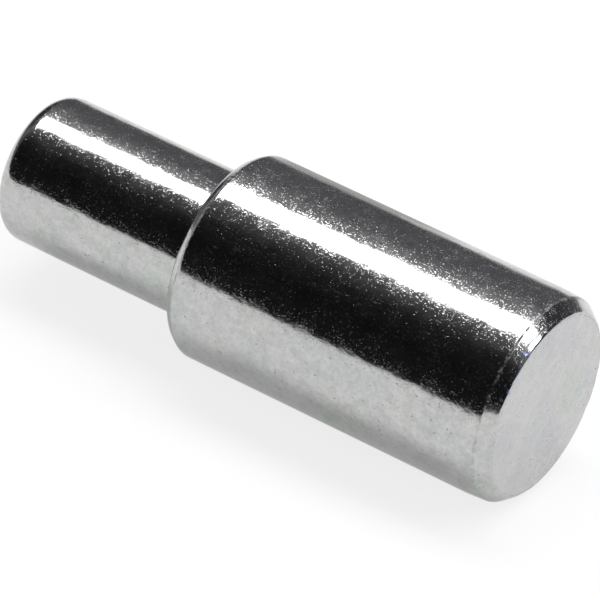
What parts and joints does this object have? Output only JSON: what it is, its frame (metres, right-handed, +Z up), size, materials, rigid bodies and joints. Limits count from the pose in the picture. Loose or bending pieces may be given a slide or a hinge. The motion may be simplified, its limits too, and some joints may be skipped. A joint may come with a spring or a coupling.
{
  "type": "shelf support pin",
  "caption": "Stepped round steel pin: a slim peg plugs into a drilled hole in a cabinet side, up to its shoulder, and a thicker cylindrical support carries the shelf.",
  "frame": {"origin": "on the pin's axis, in the plane of the shoulder that meets the cabinet's side", "axes": "+X along the axis, from the shoulder out through the support that carries the shelf; -X along the peg, into the cabinet's side; +Z up, towards the shelf"},
  "size_m": [0.0196, 0.007, 0.007],
  "materials": {
    "bright_zinc": "bright zinc plate over steel, lightly pitted, with a mirror-like shine"
  },
  "bodies": {
    "root": {"shelf_pin": "bright_zinc"}
  },
  "joints": []
}
